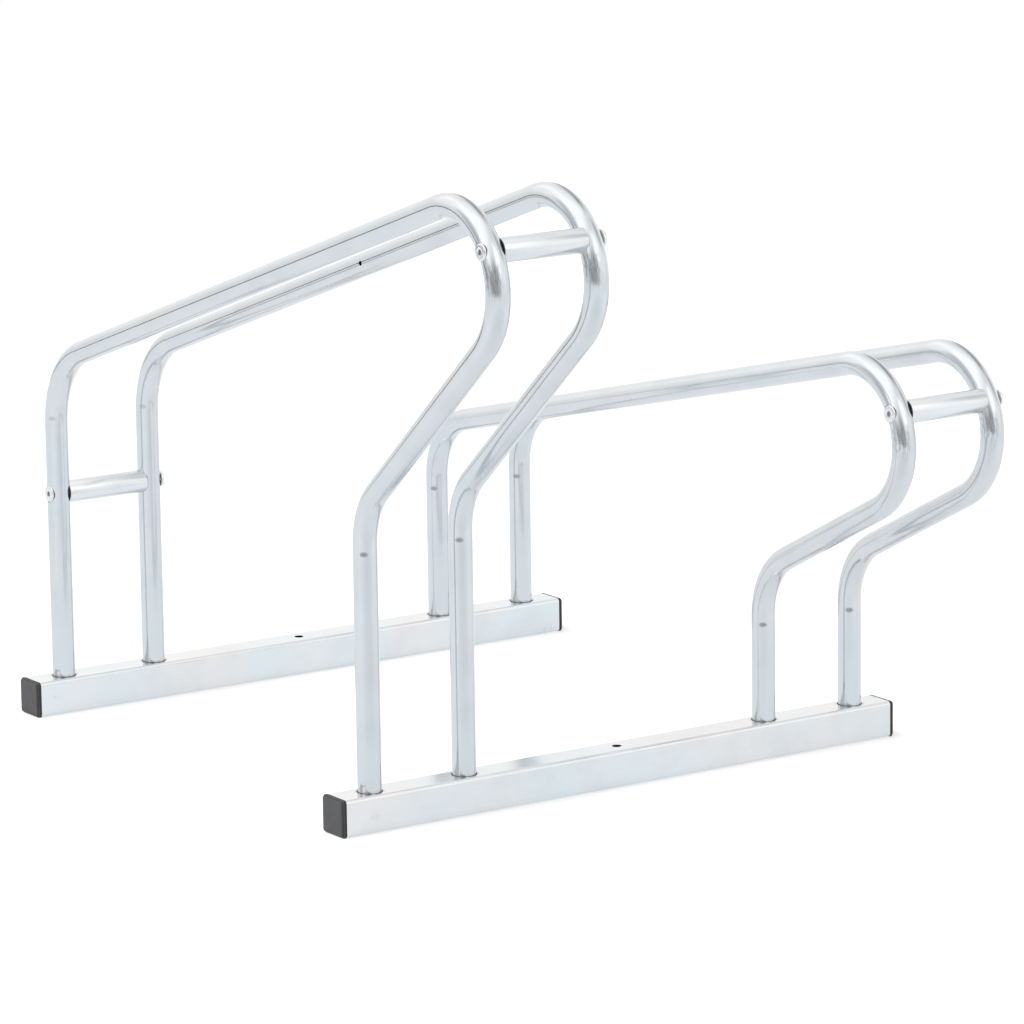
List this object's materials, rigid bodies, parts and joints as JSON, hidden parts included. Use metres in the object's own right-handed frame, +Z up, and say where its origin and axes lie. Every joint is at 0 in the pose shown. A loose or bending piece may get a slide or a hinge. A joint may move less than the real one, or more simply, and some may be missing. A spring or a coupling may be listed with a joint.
{
  "type": "floor bike rack",
  "caption": "Low floor rack for bicycles: bent steel tube pairs, a high and a low stand, on square rails with plastic end caps; tyres drop between the tubes.",
  "frame": {"origin": "on the floor, midway between the anchor holes of the two rails", "axes": "+X along the rails towards the low stand, -Y to the side that the wheels roll in from, +Z up"},
  "size_m": [0.447, 0.5775, 0.4265],
  "materials": {
    "rail_zinc": "smooth zinc-plated steel, bright",
    "tube_zinc": "zinc-plated steel with fine marks along the tube",
    "bolt_zinc": "bright zinc-plated steel",
    "insert_steel": "plain turned steel",
    "cap_plastic": "moulded dark grey plastic, satin"
  },
  "bodies": {
    "root": {"front_rail": "rail_zinc", "back_rail": "rail_zinc", "front_left_cap": "cap_plastic", "front_right_cap": "cap_plastic", "back_left_cap": "cap_plastic", "back_right_cap": "cap_plastic", "high_left_hoop": "tube_zinc", "high_right_hoop": "tube_zinc", "low_left_hoop": "tube_zinc", "low_right_hoop": "tube_zinc", "high_nose_spacer": "tube_zinc", "high_back_spacer": "tube_zinc", "low_nose_spacer": "tube_zinc", "high_nose_left_insert": "insert_steel", "high_nose_right_insert": "insert_steel", "high_back_left_insert": "insert_steel", "high_back_right_insert": "insert_steel", "low_nose_left_insert": "insert_steel", "low_nose_right_insert": "insert_steel", "high_nose_left_bolt": "bolt_zinc", "high_nose_right_bolt": "bolt_zinc", "high_back_left_bolt": "bolt_zinc", "high_back_right_bolt": "bolt_zinc", "low_nose_left_bolt": "bolt_zinc", "low_nose_right_bolt": "bolt_zinc", "high_left_front_plug": "insert_steel", "high_left_back_plug": "insert_steel", "high_right_front_plug": "insert_steel", "high_right_back_plug": "insert_steel", "low_left_front_plug": "insert_steel", "low_left_back_plug": "insert_steel", "low_right_front_plug": "insert_steel", "low_right_back_plug": "insert_steel", "high_left_front_screw": "bolt_zinc", "high_left_back_screw": "bolt_zinc", "high_right_front_screw": "bolt_zinc", "high_right_back_screw": "bolt_zinc", "low_left_front_screw": "bolt_zinc", "low_left_back_screw": "bolt_zinc", "low_right_front_screw": "bolt_zinc", "low_right_back_screw": "bolt_zinc"}
  },
  "joints": []
}
